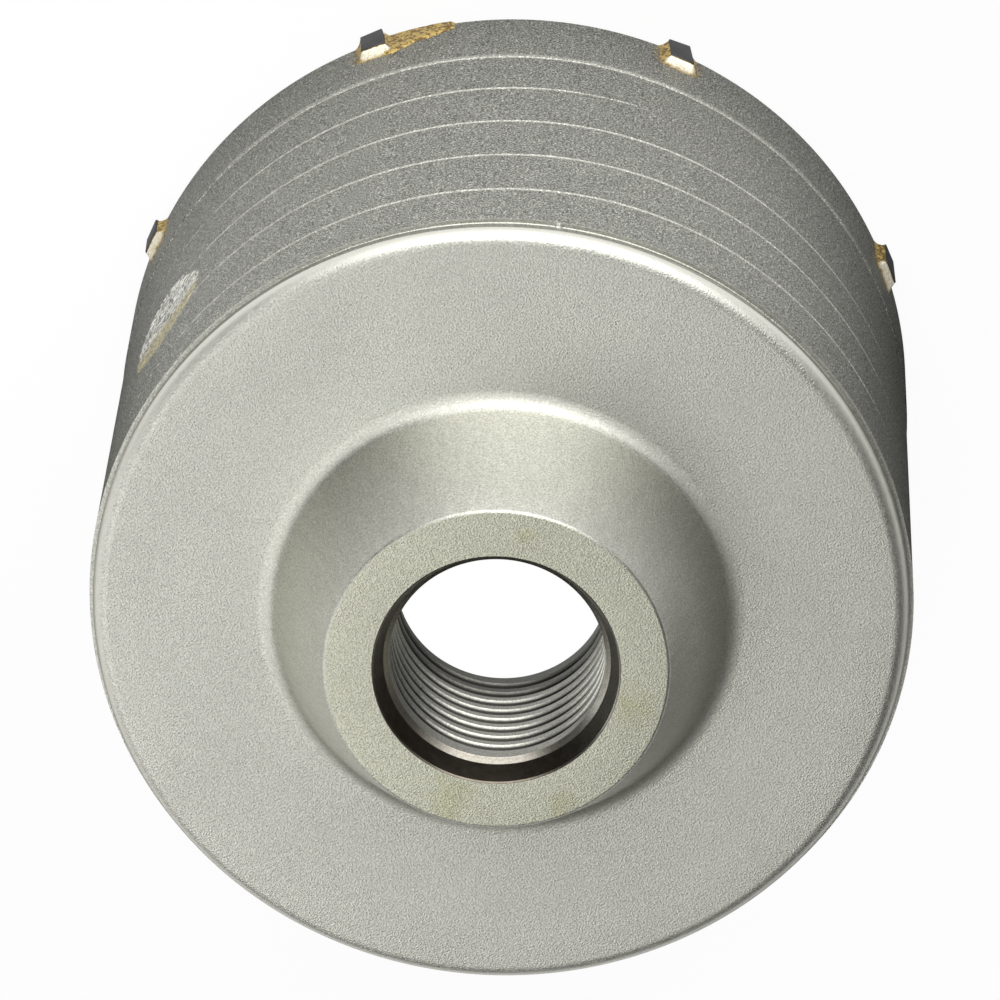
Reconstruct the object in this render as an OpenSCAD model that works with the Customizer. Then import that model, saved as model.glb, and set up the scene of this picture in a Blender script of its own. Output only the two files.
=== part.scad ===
// Concrete core bit: a forged and turned steel cup with a threaded hub,
// and carbide cutting tips brazed into slots around its rim.
// It stands on its tips with the hub up. Z = 0 is the plane of the cutting edges.

/* [Cup] */
// Outside diameter of the cup at the rim
cup_d = 78.2; // [70:0.1:100]
// Height from the rim to the flat back
cup_h = 56.8; // [45:0.1:90]
// Thickness of the cup wall
wall = 4; // [3:0.1:6]
// Thickness of the back between the flat outside and the hollow
web = 7.6; // [5:0.1:12]
// Radius of the outside corner where wall meets back
corner_r = 1.5; // [0.5:0.1:3]
// Width of the ledge left by turning, just below the corner
ledge_w = 0.4; // [0.1:0.05:1]
// Height of the unturned wall above that ledge
ledge_h = 0.95; // [0.2:0.05:3]
// Radius of the corner inside the hollow
inner_corner_r = 4; // [1:0.5:8]

/* [Band] */
// Height of the wider band that carries the tips, from the rim
band_h = 10.6; // [7:0.1:16]
// How much that band stands out from the rest of the wall
band_step = 0.12; // [0.05:0.01:0.4]
// Depth of the ring turned into the wall where the band ends
ring_depth = 0.15; // [0.05:0.01:0.3]
// Height over which that ring runs out towards the hub
ring_runout = 0.6; // [0.3:0.1:1.5]

/* [Hub] */
// Height of the hub above the flat back
hub_h = 13.1; // [9:0.1:25]
// Diameter of the hub's flat face, its edge break left out
hub_d = 32.2; // [28:0.1:40]
// Diameter at which the cone would meet the flat back
hub_base_d = 43.3; // [41:0.1:55]
// Radius of the fillet between cone and back
hub_fillet_r = 2.2; // [0.5:0.1:4]
// Size of the broken edge round the hub's face
hub_edge = 0.4; // [0.1:0.05:1]

/* [Arbor thread] */
// Nominal diameter of the arbor thread
thread_d = 22; // [18:0.5:24]
// Pitch of the arbor thread
thread_pitch = 2; // [1.5:0.25:2.5]
// How much wider than the thread the mouth of the bore is, on each side
mouth_clear = 0.5; // [0.2:0.05:1.5]
// Depth of the steep cone inside the mouth
mouth_h = 2.25; // [1:0.05:6]
// Size of the chamfer that leads from that cone into the thread
lead_in = 0.5; // [0.2:0.05:1]

/* [Carbide tips] */
// Number of tips round the rim
tip_count = 8; // [4:1:12]
// How far the tips stand out past the wall of the cup
tip_proud = 0.9; // [0.3:0.05:2]
// How far the tips stand into the hollow past the wall
tip_inset = 0.8; // [0.2:0.1:2]
// How far the leading edge of a tip stands past the rim
tip_reach = 0.85; // [0.6:0.05:4]
// Depth to which a tip is let into the rim
tip_seat = 3.7; // [2:0.1:5.5]
// Thickness of a tip at its seated end
tip_w = 2.5; // [1.5:0.1:4]
// How much thinner a tip is at its cutting end
tip_taper = 0.2; // [0:0.05:0.5]
// Relief angle behind the cutting edge
tip_relief = 12; // [2:1:14]
// Lean of a tip, whose cutting end trails behind its seated end
tip_lean = 5; // [0:0.5:8]

/* [Braze] */
// Thickness of the braze between a tip and its slot
braze_gap = 0.12; // [0.05:0.01:0.3]
// Width of the braze bead beside a tip
bead_w = 0.85; // [0.3:0.05:1.5]
// Length of the braze bead behind a tip's seated end
bead_l = 1.4; // [0.3:0.1:2.5]
// How far the bead stops short of the tip's outer face
bead_drop = 0.12; // [0.05:0.01:0.4]
// Number of the tip whose braze ran along the rim
runout_tip_number = 3; // [1:1:4]
// Length of that run of braze beside the tip
runout_l = 7; // [3:0.5:12]
// Height of that run where it leaves the tip
runout_h = 4.9; // [2:0.1:7]
// Thickness of that run
runout_t = 0.22; // [0.1:0.01:0.5]

/* [Ground patch] */
// Direction of the ground patch round the axis, from tip 1
patch_angle = 126.4; // [0:0.1:360]
// Height of the patch's centre above the rim
patch_h = 35.4; // [15:0.1:45]
// Depth of the grinding at the patch's centre
patch_depth = 0.41; // [0.1:0.01:0.6]
// Radius of the wheel that ground it
wheel_r = 60; // [40:1:150]
// Lean of the patch from the cup's axis
patch_lean = -3; // [-20:1:45]

/* [Hidden] */
$fn = 128;
eps = 0.01;
reach_past = 2;
rim_z = tip_reach;
cup_r = cup_d / 2;
inner_r = cup_r - wall;
barrel_r = cup_r - band_step;
forged_r = barrel_r - ledge_w;
back_z = rim_z + cup_h;
hub_z = back_z + hub_h;
web_z = back_z - web;
band_z = rim_z + band_h;
ledge_z = back_z - corner_r - ledge_h;

// The bore reaches the crests of the internal thread, whose depth is a share of its pitch
crest_share = 0.45;
bore_r = thread_d / 2 - crest_share * thread_pitch;

// The mouth's cone ends in a 45 degree chamfer, which leads into the thread
mouth_r = thread_d / 2 + mouth_clear;
mouth_foot_r = bore_r + lead_in;
mouth_foot_z = hub_z - mouth_h;
mouth_flare = (mouth_r - mouth_foot_r) / mouth_h;
thread_top_z = mouth_foot_z - lead_in;

// Hub cone and its fillet: half angle, and where the fillet's circle sits
hub_r = hub_d / 2;
hub_base_r = hub_base_d / 2;
hub_root_z = back_z - web / 2;
cone_a = atan((hub_base_r - hub_r) / hub_h);
fillet_rise = hub_fillet_r * (1 - sin(cone_a));
fillet_top_r = hub_base_r - fillet_rise * tan(cone_a);
fillet_r0 = fillet_top_r + hub_fillet_r * cos(cone_a);

// Tips and slots, in the plane of one tip: across the tip, and up
tip_in_r = inner_r - tip_inset;
tip_out_r = cup_r + tip_proud;
tip_front_w = tip_w - tip_taper;
tip_back_z = rim_z + tip_seat;
tip_mid_z = tip_back_z / 2;
slot_w = tip_w + 2 * braze_gap;
slot_low_z = rim_z - reach_past;
slot_z = tip_back_z + braze_gap;
bead_h = tip_proud - bead_drop;
bead_root_r = cup_r - wall / 2;

// How far the lean carries a tip's middle sideways at height z
function lean_at(z) = (tip_mid_z - z) * tan(tip_lean);

// Hollow slope of a bead: the point that it passes through, as shares of its height and width
slope_h = 0.3;
slope_w = 0.35;

// Upper edge of the run of braze, as shares of its length and height, from the tip outwards
runout_edge = [[0, 1], [0.2, 0.92], [0.6, 0.7], [1, 0.3], [1, 0], [0, 0]];

// Turns a shape made at tip 1 to the place of tip i
module at_tip(i) {
    rotate([0, 0, (i - 1) * 360 / tip_count]) children();
}

// Extrudes an outline drawn across and up, outwards from radius r0 to r1
module outwards(r0, r1) {
    translate([r0, 0, 0]) rotate([90, 0, 90]) linear_extrude(r1 - r0) children();
}

// Half section of the cup's outside: band, barrel, ledge and rounded corner
module cup_outside() {
    translate([0, rim_z]) square([cup_r, band_h]);
    translate([0, rim_z]) square([barrel_r, ledge_z - rim_z]);
    translate([0, rim_z]) square([forged_r, cup_h - corner_r]);
    translate([0, rim_z]) square([forged_r - corner_r, cup_h]);
    translate([forged_r - corner_r, back_z - corner_r]) circle(corner_r);
}

// Half section of the hub: cone with a broken edge, and its fillet to the back
module hub_section() {
    polygon([
        [0, hub_root_z],
        [hub_base_r, hub_root_z],
        [hub_base_r, back_z],
        [hub_r + hub_edge * tan(cone_a), hub_z - hub_edge],
        [hub_r - hub_edge, hub_z],
        [0, hub_z]
    ]);
    difference() {
        polygon([
            [hub_base_r - eps, back_z - eps],
            [fillet_r0, back_z - eps],
            [fillet_r0, back_z],
            [fillet_top_r, back_z + fillet_rise],
            [fillet_top_r - eps, back_z + fillet_rise]
        ]);
        translate([fillet_r0, back_z + hub_fillet_r]) circle(hub_fillet_r);
    }
}

// Half section of the hollow, with its rounded inner corner
module hollow_section() {
    translate([0, rim_z - reach_past]) square([inner_r, web_z - inner_corner_r - rim_z + reach_past]);
    translate([0, rim_z]) square([inner_r - inner_corner_r, web_z - rim_z]);
    translate([inner_r - inner_corner_r, web_z - inner_corner_r]) circle(inner_corner_r);
}

// Half section of the bore: thread crests, lead-in chamfer and steep cone at the mouth
module bore_section() {
    polygon([
        [0, web_z - reach_past],
        [bore_r, web_z - reach_past],
        [bore_r, thread_top_z],
        [mouth_foot_r, mouth_foot_z],
        [mouth_r + mouth_flare * reach_past, hub_z + reach_past],
        [0, hub_z + reach_past]
    ]);
}

// Half section of the ring turned where the band ends: a ledge that faces the hub, then a run-out
module ring_section() {
    polygon([
        [barrel_r - ring_depth, band_z],
        [cup_r + reach_past, band_z],
        [cup_r + reach_past, band_z + ring_runout],
        [barrel_r, band_z + ring_runout]
    ]);
}

// Leaning slot through the wall for one tip, open at the rim
module slot() {
    outwards(inner_r - reach_past, cup_r + reach_past) polygon([
        [lean_at(slot_z) - slot_w / 2, slot_z],
        [lean_at(slot_low_z) - slot_w / 2, slot_low_z],
        [lean_at(slot_low_z) + slot_w / 2, slot_low_z],
        [lean_at(slot_z) + slot_w / 2, slot_z]
    ]);
}

// Wheel that ground the bright patch, laid against the barrel
module grinding_wheel() {
    rotate([0, 0, patch_angle])
        translate([barrel_r - patch_depth + wheel_r, 0, rim_z + patch_h])
        rotate([90 + patch_lean, 0, 0])
        cylinder(h = 2 * cup_r, r = wheel_r, center = true);
}

module core_body() {
    color("#8f8f86")
    difference() {
        rotate_extrude() difference() {
            union() {
                cup_outside();
                hub_section();
            }
            hollow_section();
            bore_section();
            ring_section();
        }
        for (i = [1 : tip_count]) at_tip(i) slot();
        grinding_wheel();
    }
}

// One carbide block: tapered and leaning, with its end ground back from the leading edge
module tip_block() {
    outwards(tip_in_r, tip_out_r) polygon([
        [lean_at(tip_back_z) - tip_w / 2, tip_back_z],
        [lean_at(0) - tip_front_w / 2, 0],
        [lean_at(0) + tip_front_w / 2, tip_front_w * tan(tip_relief)],
        [lean_at(tip_back_z) + tip_w / 2, tip_back_z]
    ]);
}

module carbide_tip(i) {
    color("#45464a") at_tip(i) tip_block();
}

// Fillet of braze outside the wall, round the tip's two sides and its seated end
module bead() {
    half = tip_w / 2;
    intersection() {
        translate([0, 0, tip_mid_z]) rotate([tip_lean, 0, 0]) translate([0, 0, -tip_mid_z])
            linear_extrude(rim_z + tip_seat + 2 * bead_l) polygon([
            [bead_root_r, -half - bead_w],
            [cup_r, -half - bead_w],
            [cup_r + slope_h * bead_h, -half - slope_w * bead_w],
            [cup_r + bead_h, -half],
            [cup_r + bead_h, half],
            [cup_r + slope_h * bead_h, half + slope_w * bead_w],
            [cup_r, half + bead_w],
            [bead_root_r, half + bead_w]
        ]);
        rotate([90, 0, 0]) linear_extrude(tip_w + 4 * bead_w, center = true) polygon([
            [bead_root_r, rim_z],
            [cup_r + bead_h, rim_z],
            [cup_r + bead_h, tip_back_z],
            [cup_r + slope_h * bead_h, tip_back_z + slope_w * bead_l],
            [cup_r, tip_back_z + bead_l],
            [bead_root_r, tip_back_z + bead_l]
        ]);
    }
}

// Thin run of braze along the rim, on the leading side of a tip
module runout() {
    intersection() {
        outwards(bead_root_r, cup_r + reach_past) polygon([
            for (p = runout_edge) [-tip_w / 2 - p[0] * runout_l, rim_z + p[1] * runout_h]
        ]);
        translate([0, 0, rim_z]) cylinder(h = runout_h, r = cup_r + runout_t);
    }
}

// Solid wall round the slots, which the braze lies in and against
module slotted_wall() {
    difference() {
        cylinder(h = back_z, r = cup_r);
        slot();
    }
}

module braze_joint(i) {
    color("#c2a25a")
    at_tip(i) difference() {
        union() {
            intersection() {
                slot();
                translate([0, 0, rim_z]) cylinder(h = tip_seat + bead_l, r = cup_r);
            }
            bead();
            if (i == runout_tip_number) runout();
        }
        slotted_wall();
        tip_block();
        cylinder(h = back_z, r = inner_r);
    }
}

core_body();
for (i = [1 : tip_count]) carbide_tip(i);
for (i = [1 : tip_count]) braze_joint(i);
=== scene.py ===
"""Finished pieces of a concrete core bit: threaded cup, carbide tips and braze."""

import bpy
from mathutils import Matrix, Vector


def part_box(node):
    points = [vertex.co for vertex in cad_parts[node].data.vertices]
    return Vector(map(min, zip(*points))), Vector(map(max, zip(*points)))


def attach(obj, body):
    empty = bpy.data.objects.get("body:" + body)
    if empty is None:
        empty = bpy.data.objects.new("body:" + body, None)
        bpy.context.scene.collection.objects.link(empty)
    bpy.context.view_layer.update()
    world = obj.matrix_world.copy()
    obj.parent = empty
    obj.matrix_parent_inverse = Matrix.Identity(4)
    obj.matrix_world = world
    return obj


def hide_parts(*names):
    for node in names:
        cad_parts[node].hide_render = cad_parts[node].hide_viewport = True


bl_info = {
    "name": "Concrete core bit",
    "version": (1, 0, 0),
    "blender": (4, 5, 0),
    "location": "3D View > Sidebar > Core bit",
    "description": "Adds the core bit's threaded cup, carbide tips, braze and studio",
    "category": "Add Mesh",
}

import math
from types import SimpleNamespace

import bmesh
import bpy
from bpy.props import FloatProperty, FloatVectorProperty, IntProperty, PointerProperty
from mathutils import Matrix, Vector

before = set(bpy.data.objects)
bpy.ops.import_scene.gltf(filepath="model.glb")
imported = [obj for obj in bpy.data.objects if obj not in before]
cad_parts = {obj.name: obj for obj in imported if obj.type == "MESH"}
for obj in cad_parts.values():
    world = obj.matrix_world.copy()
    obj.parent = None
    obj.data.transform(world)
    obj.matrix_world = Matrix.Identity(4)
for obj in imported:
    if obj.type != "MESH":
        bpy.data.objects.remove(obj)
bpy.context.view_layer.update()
HUB_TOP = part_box("core_body")[1].z
RIM_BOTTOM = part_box("core_body")[0].z

MM = 0.001
BODY = "root"

LAMP_DISTANCE = 0.7
LAMP_TARGET = Vector((0, 0, 0.04))
BRAZE_STEP = 0.1 * MM

# Headings from the first tip in degrees, and the place of a nick on the corner in millimetres
# The first heading is where the worn line is painted fuller and brighter as a painted highlight
WORN_AND_LIT_SIDE = 62
SHADED_SIDE = 225
NICK = (18.67, 33.78, 55.1)


# Settings

def length(name, mm):
    """A length, given here in millimetres."""
    return FloatProperty(name=name, description=f"{name}. As built: {mm:g} mm", default=mm * MM,
                         unit="LENGTH", precision=5)


def angle(name, degrees):
    """An angle, given here in degrees."""
    return FloatProperty(name=name, description=f"{name}. As built: {degrees:g} degrees",
                         default=math.radians(degrees), subtype="ANGLE")


def share(name, value):
    """A share from 0 to 1."""
    return FloatProperty(name=name, description=f"{name}, from 0 to 1. As built: {value:g}", default=value,
                         min=0, max=1, subtype="FACTOR")


def colour(name, value):
    """A colour, as linear red, green and blue."""
    return FloatVectorProperty(name=name, description=f"Colour of the {name.lower()}", default=value, size=3,
                               min=0, max=1, subtype="COLOR")


class CupSizes(bpy.types.PropertyGroup):
    """Sizes of the turned cup and its hub."""

    rim_z: length("Height of the rim", RIM_BOTTOM / MM)
    hub_z: length("Height of the hub's face", HUB_TOP / MM)
    cup_r: length("Radius of the band", 39.1)
    wall: length("Wall thickness", 4)
    back_z: length("Height of the back", 57.65)
    web: length("Thickness of the back", 7.6)
    corner_r: length("Radius of the outer corner", 1.5)
    ledge_w: length("Width of the ledge", 0.4)
    ledge_h: length("Height above the ledge", 0.95)
    inner_corner_r: length("Radius of the inner corner", 4)
    band_h: length("Height of the band", 10.6)
    band_step: length("Step of the band", 0.12)
    band_round: length("Rounding of the band", 0.5)
    ring_depth: length("Depth of the band's ring", 0.08)
    ring_runout: length("Height of the band's ring", 0.45)
    lip: length("Overhang of the corner", 0.07)
    edge_break: length("Broken edges at the rim", 0.12)
    hub_r: length("Radius of the hub's face", 16.1)
    hub_base_r: length("Radius of the hub's cone at the back", 21.65)
    hub_edge: length("Rounding of the hub's face", 0.3)
    hub_fillet_r: length("Fillet at the hub's foot", 2.2)
    columns: IntProperty(name="Columns", description="Faces round the cup", default=288, min=64, max=720)


class SpiralSizes(bpy.types.PropertyGroup):
    """Sizes of the turned spiral line on the barrel."""

    lead: length("Lead of the line", 9.1)
    height: length("Height of the line at the first tip", 18.22)
    start: angle("Direction of the line's start", 46)
    depth: length("Depth of the line", 0.09)
    drop: length("Height of the line's upper side", 0.15)
    rise: length("Height of the line's lower side", 0.3)
    share: share("Depth share below the lower side", 0.25)
    deep_side: angle("Direction of its deepest side", 68)


class ThreadSizes(bpy.types.PropertyGroup):
    """Sizes of the arbor thread and of its mouth."""

    pitch: length("Pitch of the thread", 2)
    crest_r: length("Radius of the crests", 10.1)
    root_r: length("Radius of the roots", 11)
    root_flat: length("Width of the root's flat", 0.25)
    groove_z: length("Height of one groove", 64.54)
    flank: angle("Angle of the flanks", 30)
    land: length("Height of the plain bore inside", 0.35)
    full_z: length("Height of the full thread", 66.5)
    runout: length("Height of the run-out", 0.7)
    mouth_r: length("Radius of the bore's mouth", 11.5)
    mouth_h: length("Depth of the mouth's cone", 2.25)
    lead_in: length("Chamfer at the thread's start", 0.5)
    mouth_break: length("Broken edge of the mouth", 0.1)


class PatchSizes(bpy.types.PropertyGroup):
    """Place and sizes of the ground patch on the barrel."""

    wheel_r: length("Radius of the grinding wheel", 60)
    depth: length("Depth of the patch's middle", 0.41)
    height: length("Height of the patch above the rim", 35.4)
    turn: angle("Direction of the patch", 126.4)
    lean: angle("Lean of the patch", -3)


class TipSizes(bpy.types.PropertyGroup):
    """Sizes of the carbide tips and their slots."""

    count: IntProperty(name="Tips", description="Number of tips round the rim", default=8, min=1, max=24)
    inner_r: length("Radius of a tip's inner end", 34.3)
    outer_r: length("Radius of a tip's outer face", 40)
    width: length("Thickness of a tip at its seated end", 2.5)
    front_width: length("Thickness of a tip at its cutting end", 2.3)
    seat_z: length("Height of a tip's seated end", 4.55)
    relief: angle("Angle behind the cutting edge", 12)
    lean: angle("Lean of a tip", 5)
    edge_round: length("Size of a tip's rounded edges", 0.11)
    gap: length("Gap between tip and slot", 0.12)


class BrazeSizes(bpy.types.PropertyGroup):
    """Sizes of the braze round the tips."""

    side: length("Width of the fillet beside a tip", 0.85)
    behind: length("Length of the fillet behind a tip", 1.4)
    height: length("Height of the fillet at the tip", 0.78)
    sink: length("Depth of the braze's edge", 0.05)
    lumps: length("Height of the braze's lumps", 0.07)
    run_tip: IntProperty(name="Run at tip", description="Tip whose braze ran along the rim", default=3, min=1)
    run_length: length("Length of the run", 7)
    run_height: length("Height of the run at the tip", 4.9)
    run_thickness: length("Thickness of the run", 0.22)


class Looks(bpy.types.PropertyGroup):
    """Colours and finishes of the pieces."""

    steel: colour("Blasted steel", (0.545, 0.545, 0.49))
    # Barrel colour: partly the turned steel's own tone, partly painted shade
    barrel: colour("Barrel steel darkened by painted shade", (0.32, 0.32, 0.29))
    bright: colour("Ground steel", (0.80, 0.79, 0.72))
    warm: colour("Warm steel", (0.62, 0.55, 0.30))
    film: colour("Olive film", (0.52, 0.52, 0.41))
    oxide_and_shade: colour("Dark oxide and painted shade", (0.02, 0.018, 0.016))
    brown_film_and_shade: colour("Brown film and painted shade", (0.15, 0.122, 0.095))
    stain: colour("Olive stain", (0.42, 0.40, 0.22))
    scorch: colour("Scorched steel", (0.42, 0.33, 0.17))
    carbide: colour("Carbide", (0.066, 0.066, 0.068))
    gold: colour("Braze", (0.60, 0.44, 0.15))
    cream_highlight: colour("Pale braze", (0.92, 0.86, 0.68))
    rust: colour("Burnt braze", (0.13, 0.07, 0.02))
    grain: length("Size of the blasted grain", 0.17)
    grain_depth: length("Depth of the blasted grain", 0.06)
    roughness: share("Roughness of the blasted steel", 0.47)


class StageSettings(bpy.types.PropertyGroup):
    """Floor, lamps and camera."""

    white_r: length("Radius of the floor under the cup", 35)
    floor_white: share("Floor's white further out", 0.94)
    floor_shine: share("Floor's white in near reflections", 0.1)
    far_shine: share("Floor's white in far reflections", 1.0)
    shade_r: length("Radius of the shade in reflections", 78)
    shade_back: length("Distance of that shade behind the cup", 50)
    right_out: length("Distance of the right painted dark patch", 100)
    right_r: length("Radius of the right painted dark patch", 70)
    left_out: length("Distance of the left painted dark patch", 75)
    left_r: length("Radius of the left painted dark patch", 45)
    floor_grey: share("Grey of the floor in reflections", 0.35)
    floor_size: length("Side of the square floor", 4000)
    world: share("Brightness of the surroundings", 0.07)
    lens: FloatProperty(name="Lens", description="Focal length in millimetres", default=295.05)
    distance: length("Distance from the camera to its aim", 792.84)
    aim: FloatVectorProperty(name="Aim", description="Point that the camera aims at",
                             default=(0.072 * MM, 2.098 * MM, 35 * MM), subtype="TRANSLATION", unit="LENGTH")
    heading: angle("Direction of the camera", 65.2)
    elevation: angle("Elevation of the camera", 66.836)
    roll: angle("Roll of the camera", 175.804)


def group(kind, name):
    """A group of settings."""
    return PointerProperty(type=kind, name=name, description=kind.__doc__)


class CoreBit(bpy.types.PropertyGroup):
    """All settings of the core bit."""

    cup: group(CupSizes, "Cup")
    spiral: group(SpiralSizes, "Spiral line")
    thread: group(ThreadSizes, "Thread")
    patch: group(PatchSizes, "Ground patch")
    tips: group(TipSizes, "Tips")
    braze: group(BrazeSizes, "Braze")
    looks: group(Looks, "Looks")
    stage: group(StageSettings, "Stage")


# Node trees

def math_method(operation, swapped=False):
    """A method that adds a Math node, with its operands swapped for a reflected operator."""
    def method(self, *others):
        operands = (*others, self) if swapped else (self, *others)
        return self.maker.node("ShaderNodeMath", *operands, settings={"operation": operation})
    return method


class Value:
    """An output of a node. Python's operators on it add Math nodes."""

    def __init__(self, maker, socket):
        self.maker = maker
        self.socket = socket

    def also(self, output):
        """Another output of the same node."""
        return Value(self.maker, self.socket.node.outputs[output])

    def math(self, operation, *others):
        return math_method(operation)(self, *others)

    __add__ = __radd__ = math_method("ADD")
    __sub__ = math_method("SUBTRACT")
    __rsub__ = math_method("SUBTRACT", True)
    __mul__ = __rmul__ = math_method("MULTIPLY")
    __truediv__ = math_method("DIVIDE")
    __rtruediv__ = math_method("DIVIDE", True)
    __gt__ = math_method("GREATER_THAN")
    least = math_method("MINIMUM")
    most = math_method("MAXIMUM")

    def held(self, low, high):
        """The value kept between low and high."""
        return self.most(low).least(high)

    def rise(self, low, high):
        """0 below low, 1 above high, a smooth step between. Swapped limits give a fall."""
        start, end, below, above = (low, high, 0, 1) if low < high else (high, low, 1, 0)
        return self.maker.node("ShaderNodeMapRange", settings={"interpolation_type": "SMOOTHSTEP"},
                               Value=self, From_Min=start, From_Max=end, To_Min=below, To_Max=above)


class Maker:
    """Adds nodes to one shader or geometry tree."""

    def __init__(self, tree):
        self.tree = tree

    def node(self, kind, *values, settings=None, output=0, at=None, **sockets):
        """Adds a node and returns one of its outputs.

        Its sockets take values or links in order, at their numbers, or by name with _ for a space.
        """
        node = self.tree.nodes.new(kind)
        for name, value in (settings or {}).items():
            setattr(node, name, value)
        named = {name.replace("_", " "): value for name, value in sockets.items()}
        for name, value in {**dict(enumerate(values)), **(at or {}), **named}.items():
            for part in value if isinstance(value, list) else [value]:
                if isinstance(part, Value):
                    self.tree.links.new(part.socket, node.inputs[name])
                else:
                    node.inputs[name].default_value = part
        return Value(self, node.outputs[output]) if len(node.outputs) else None

    def shape(self, kind, geometry=None, **named):
        """A geometry node."""
        if geometry is not None:
            named["Geometry"] = geometry
        return self.node("GeometryNode" + kind, **named)

    def named(self, label):
        """A float attribute in a geometry tree."""
        return self.shape("InputNamedAttribute", settings={"data_type": "FLOAT"}, Name=label)

    def vector(self, operation, *parts, **named):
        """A Vector Math node."""
        return self.node("ShaderNodeVectorMath", *parts, settings={"operation": operation}, **named)

    def distance(self, first, second):
        return self.vector("DISTANCE", first, second, output="Value")

    def xyz(self, *parts):
        return self.node("ShaderNodeCombineXYZ", *parts)

    def split(self, vector):
        first = self.node("ShaderNodeSeparateXYZ", vector)
        return first, first.also("Y"), first.also("Z")

    def place(self):
        """The place on the object in millimetres."""
        return self.vector("SCALE", self.node("ShaderNodeTexCoord", output="Object"), Scale=1 / MM)

    def noise(self, vector, scale, detail=2, roughness=0.5):
        return self.node("ShaderNodeTexNoise", Vector=vector, Scale=scale, Detail=detail, Roughness=roughness)

    def mix(self, factor, first, second, blend="MIX"):
        """A mix of two colours."""
        first, second = [c if isinstance(c, Value) else (*c, 1) for c in (first, second)]
        return self.node("ShaderNodeMix", settings={"data_type": "RGBA", "blend_type": blend}, output=2,
                         at={0: factor, 6: first, 7: second})

    def coated(self, base, *coats):
        """A colour with coats laid over it in order, each a factor and a colour."""
        for factor, coat in coats:
            base = self.mix(factor, base, coat)
        return base

    def tint(self, base, factor):
        """A colour made lighter or darker by a number."""
        return self.mix(1.0, base, self.node("ShaderNodeCombineColor", factor, factor, factor), "MULTIPLY")


def shader_maker(name):
    """An empty material and the maker of its nodes."""
    material = bpy.data.materials.new(name)
    material.use_nodes = True
    material.node_tree.nodes.clear()
    return material, Maker(material.node_tree)


def finish_surface(maker, *heights, **sockets):
    """Ends a material in a Principled shader. Heights come with their size in metres."""
    total = sum(height * (size / MM) for height, size in heights)
    bump = maker.node("ShaderNodeBump", Height=total, Distance=MM)
    surface = maker.node("ShaderNodeBsdfPrincipled", Normal=bump, **sockets)
    maker.node("ShaderNodeOutputMaterial", Surface=surface)


def label_of(setting):
    """The label of a tree's input."""
    return setting.replace("_", " ").capitalize()


def geometry_tree(name, inputs):
    """A geometry tree: its maker, and an input for each setting."""
    tree = bpy.data.node_groups.new(name, "GeometryNodeTree")
    for way in ("INPUT", "OUTPUT"):
        tree.interface.new_socket("Geometry", in_out=way, socket_type="NodeSocketGeometry")
    kinds = {float: "NodeSocketFloat", int: "NodeSocketInt", bpy.types.Material: "NodeSocketMaterial"}
    for setting, value in inputs.items():
        tree.interface.new_socket(label_of(setting), in_out="INPUT", socket_type=kinds[type(value)])
    maker = Maker(tree)
    source = tree.nodes.new("NodeGroupInput")
    given = {setting: Value(maker, source.outputs[label_of(setting)]) for setting in ("geometry", *inputs)}
    return maker, SimpleNamespace(**given)


def end_tree(maker, geometry, material):
    """Ends a geometry tree in Realize Instances and Set Material."""
    whole = maker.shape("RealizeInstances", geometry)
    maker.node("NodeGroupOutput", Geometry=maker.shape("SetMaterial", whole, Material=material))
    return maker.tree


def shown(name, data):
    """A new object in the scene."""
    made = bpy.data.objects.new(name, data)
    bpy.context.scene.collection.objects.link(made)
    return made


def plain_mesh(start, modifier):
    """The mesh that a modifier makes. It and its object are then removed."""
    graph = bpy.context.evaluated_depsgraph_get()
    made = bpy.data.meshes.new_from_object(start.evaluated_get(graph), depsgraph=graph)
    start.modifiers.remove(modifier)
    bpy.data.objects.remove(start)
    return made


def grown(name, mesh, build, **inputs):
    """A plain mesh object: what a geometry tree makes of a mesh."""
    tree = build(inputs)
    start = shown(name + "_start", mesh)
    modifier = start.modifiers.new(tree.name, "NODES")
    modifier.node_group = tree
    for setting, value in inputs.items():
        modifier[tree.interface.items_tree[label_of(setting)].identifier] = value
    made = plain_mesh(start, modifier)
    made.name = name
    if not made.polygons:
        raise RuntimeError(f"the tree {tree.name} made no faces")
    return shown(name, made)


def around(maker, geometry, count):
    """Copies of a geometry turned evenly round the Z axis."""
    angle_here = maker.shape("InputIndex") * math.tau / count
    turn = maker.node("FunctionNodeAxisAngleToRotation", Axis=(0, 0, 1), Angle=angle_here)
    points = maker.shape("Points", Count=count)
    return maker.shape("InstanceOnPoints", Points=points, Instance=geometry, Rotation=turn)


def sharp_edges(maker, geometry, degrees, selection=None):
    """Smooth shading, with sharp edges above an angle and at the selected edges."""
    sharp = maker.shape("InputMeshEdgeAngle") > math.radians(degrees)
    if selection is not None:
        sharp = sharp.most(selection)
    smooth = maker.shape("SetShadeSmooth", geometry, settings={"domain": "FACE"})
    return maker.shape("SetShadeSmooth", smooth, settings={"domain": "EDGE"},
                       Selection=sharp, Shade_Smooth=False)


# Meshes

def direction(heading, elevation):
    """Unit vector from the axis, with its angles in degrees."""
    turn, rise = math.radians(heading), math.radians(elevation)
    return Vector((math.cos(turn) * math.cos(rise), math.sin(turn) * math.cos(rise), math.sin(rise)))


def mesh_of(name, corners, faces, values=None):
    """A mesh with float values on its points."""
    mesh = bpy.data.meshes.new(name)
    mesh.from_pydata(corners, [], faces)
    for label, numbers in (values or {}).items():
        mesh.attributes.new(label, "FLOAT", "POINT").data.foreach_set("value", numbers)
    return mesh


def edited(mesh, change):
    """A mesh after a change to its edit form."""
    form = bmesh.new()
    form.from_mesh(mesh)
    change(form)
    form.to_mesh(mesh)
    form.free()
    return mesh


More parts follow.
